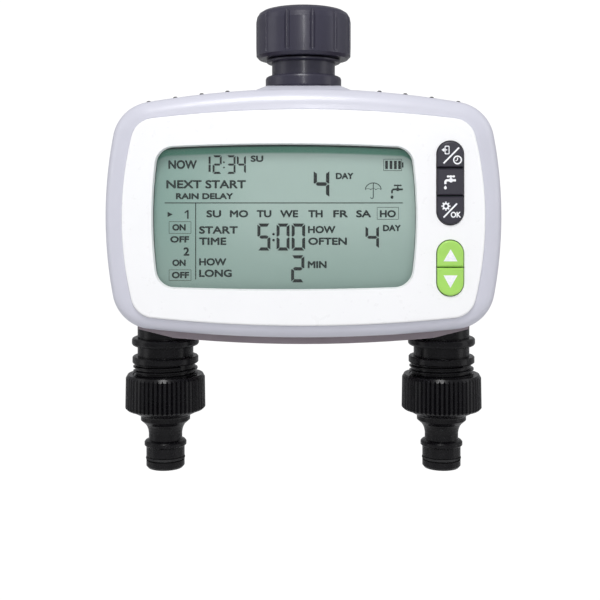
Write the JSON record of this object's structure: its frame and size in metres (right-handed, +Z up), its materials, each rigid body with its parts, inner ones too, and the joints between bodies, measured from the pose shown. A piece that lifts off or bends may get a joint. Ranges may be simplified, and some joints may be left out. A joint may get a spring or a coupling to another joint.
{
  "type": "drip irrigation timer",
  "caption": "Battery irrigation timer with a swivel hose inlet, LCD, push keys, motorised ball valves and threaded outlets fitted with quick-coupling nipples.",
  "frame": {"origin": "centre of the seat face of the hose washer inside the inlet nut, on the inlet axis", "axes": "+Z up along the inlet axis, out of the nut's mouth; -Y towards the front with the display; +X to the viewer's right"},
  "size_m": [0.1528, 0.0669, 0.188],
  "materials": {
    "light_plastic": "satin light grey moulding",
    "white_plastic": "satin white",
    "clear_window": "clear acrylic",
    "dark_shell": "fine-textured dark grey",
    "black_plastic": "satin black",
    "nut_plastic": "satin charcoal",
    "dark_key": "satin with white printed icon",
    "green_key": "satin with white printed triangle",
    "lcd": "grey-green reflective display",
    "holder_plastic": "plain moulding",
    "rubber": "soft black",
    "grey_silicone": "translucent grey",
    "board": "green solder mask on fibreglass",
    "component_body": "moulded black",
    "steel": "zinc plated",
    "natural_plastic": "natural acetal",
    "manifold_plastic": "glass-filled black",
    "ptfe": "white seat ring",
    "brass": "machined",
    "motor_can": "plated steel can",
    "cell_jacket": "printed jacket without lettering",
    "filter_mesh": "fine nylon mesh"
  },
  "bodies": {
    "case": {"front_shell": "light_plastic", "front_fascia": "white_plastic", "display_window": "clear_window", "rear_shell": "dark_shell", "case_gasket": "rubber", "case_screws": "steel", "lcd_glass": "lcd", "lcd_holder": "holder_plastic", "lcd_contact_strips": "grey_silicone", "main_circuit_board": "board", "board_screws": "steel", "board_components": "component_body", "key_switches": "component_body", "inlet_spigot": "nut_plastic", "inlet_seal": "rubber", "nut_retaining_clip": "natural_plastic", "inlet_washer": "rubber", "inlet_filter": "filter_mesh", "valve_manifold": "manifold_plastic", "ball_seats": "ptfe", "stem_seals": "rubber", "outlet_seals": "rubber", "outlet_spigot_left": "black_plastic", "outlet_spigot_right": "black_plastic", "outlet_thread_left": "black_plastic", "outlet_thread_right": "black_plastic", "motor_left": "motor_can", "motor_right": "motor_can", "gearbox_frame_left": "natural_plastic", "gearbox_frame_right": "natural_plastic", "gear_axles": "steel", "gearbox_screws": "steel", "batteries": "cell_jacket", "battery_plates": "steel", "battery_springs": "steel", "door_hinge_pin": "steel"},
    "inlet_nut": {"inlet_nut": "nut_plastic"},
    "mode_key": {"mode_key": "dark_key"},
    "manual_key": {"manual_key": "dark_key"},
    "set_key": {"set_key": "dark_key"},
    "up_key": {"up_key": "green_key"},
    "down_key": {"down_key": "green_key"},
    "valve_left": {"valve_ball_left": "brass", "valve_gear_left": "natural_plastic"},
    "idler_left": {"idler_gear_left": "natural_plastic"},
    "pinion_left": {"motor_pinion_left": "brass"},
    "washer_left": {"adapter_washer_left": "rubber"},
    "adapter_left": {"outlet_adapter_left": "black_plastic", "nipple_seal_left": "rubber"},
    "valve_right": {"valve_ball_right": "brass", "valve_gear_right": "natural_plastic"},
    "idler_right": {"idler_gear_right": "natural_plastic"},
    "pinion_right": {"motor_pinion_right": "brass"},
    "washer_right": {"adapter_washer_right": "rubber"},
    "adapter_right": {"outlet_adapter_right": "black_plastic", "nipple_seal_right": "rubber"},
    "battery_door": {"battery_door": "dark_shell", "battery_door_seal": "rubber"}
  },
  "joints": [
    {"name": "inlet_nut_turn", "type": "hinge", "parent": "case", "child": "inlet_nut", "pos_m": [0, 0, 0], "axis": [0, 0, 1], "continuous": true},
    {"name": "mode_key_press", "type": "slide", "parent": "case", "child": "mode_key", "axis": [0, 1, 0], "range_m": [0, 0.0008], "stiffness_N_per_m": 600},
    {"name": "manual_key_press", "type": "slide", "parent": "case", "child": "manual_key", "axis": [0, 1, 0], "range_m": [0, 0.0008], "stiffness_N_per_m": 600},
    {"name": "set_key_press", "type": "slide", "parent": "case", "child": "set_key", "axis": [0, 1, 0], "range_m": [0, 0.0008], "stiffness_N_per_m": 600},
    {"name": "up_key_press", "type": "slide", "parent": "case", "child": "up_key", "axis": [0, 1, 0], "range_m": [0, 0.0008], "stiffness_N_per_m": 600},
    {"name": "down_key_press", "type": "slide", "parent": "case", "child": "down_key", "axis": [0, 1, 0], "range_m": [0, 0.0008], "stiffness_N_per_m": 600},
    {"name": "valve_left_turn", "type": "hinge", "parent": "case", "child": "valve_left", "pos_m": [-0.057, 0, -0.098], "axis": [0, 1, 0], "range_deg": [0, 90]},
    {"name": "idler_left_turn", "type": "hinge", "parent": "case", "child": "idler_left", "pos_m": [-0.04396, -0.0175, -0.09049], "axis": [0, 1, 0], "range_deg": [-361, 1]},
    {"name": "pinion_left_turn", "type": "hinge", "parent": "case", "child": "pinion_left", "pos_m": [-0.02891, -0.0185, -0.09049], "axis": [0, 1, 0], "range_deg": [-1, 1441]},
    {"name": "adapter_left_travel", "type": "slide", "parent": "case", "child": "washer_left", "axis": [0, 0, -1], "range_m": [0, 0.00726]},
    {"name": "adapter_left_turn", "type": "hinge", "parent": "washer_left", "child": "adapter_left", "pos_m": [-0.057, 0, -0.15], "axis": [0, 0, -1], "range_deg": [0, 1441]},
    {"name": "valve_right_turn", "type": "hinge", "parent": "case", "child": "valve_right", "pos_m": [0.057, 0, -0.098], "axis": [0, 1, 0], "range_deg": [0, 90]},
    {"name": "idler_right_turn", "type": "hinge", "parent": "case", "child": "idler_right", "pos_m": [0.04396, -0.0175, -0.09049], "axis": [0, 1, 0], "range_deg": [-361, 1]},
    {"name": "pinion_right_turn", "type": "hinge", "parent": "case", "child": "pinion_right", "pos_m": [0.02891, -0.0185, -0.09049], "axis": [0, 1, 0], "range_deg": [-1, 1441]},
    {"name": "adapter_right_travel", "type": "slide", "parent": "case", "child": "washer_right", "axis": [0, 0, -1], "range_m": [0, 0.00726]},
    {"name": "adapter_right_turn", "type": "hinge", "parent": "washer_right", "child": "adapter_right", "pos_m": [0.057, 0, -0.15], "axis": [0, 0, -1], "range_deg": [0, 1441]},
    {"name": "battery_door_hinge", "type": "hinge", "parent": "case", "child": "battery_door", "pos_m": [0, 0.03, -0.04], "axis": [1, 0, 0], "range_deg": [0, 110]}
  ],
  "couplings": [
    {"joint": "idler_left_turn", "follows": "valve_left_turn", "ratio": -4},
    {"joint": "pinion_left_turn", "follows": "valve_left_turn", "ratio": 16},
    {"joint": "adapter_left_turn", "follows": "adapter_left_travel", "rad_per_m": 3463.7},
    {"joint": "idler_right_turn", "follows": "valve_right_turn", "ratio": -4},
    {"joint": "pinion_right_turn", "follows": "valve_right_turn", "ratio": 16},
    {"joint": "adapter_right_turn", "follows": "adapter_right_travel", "rad_per_m": 3463.7}
  ]
}
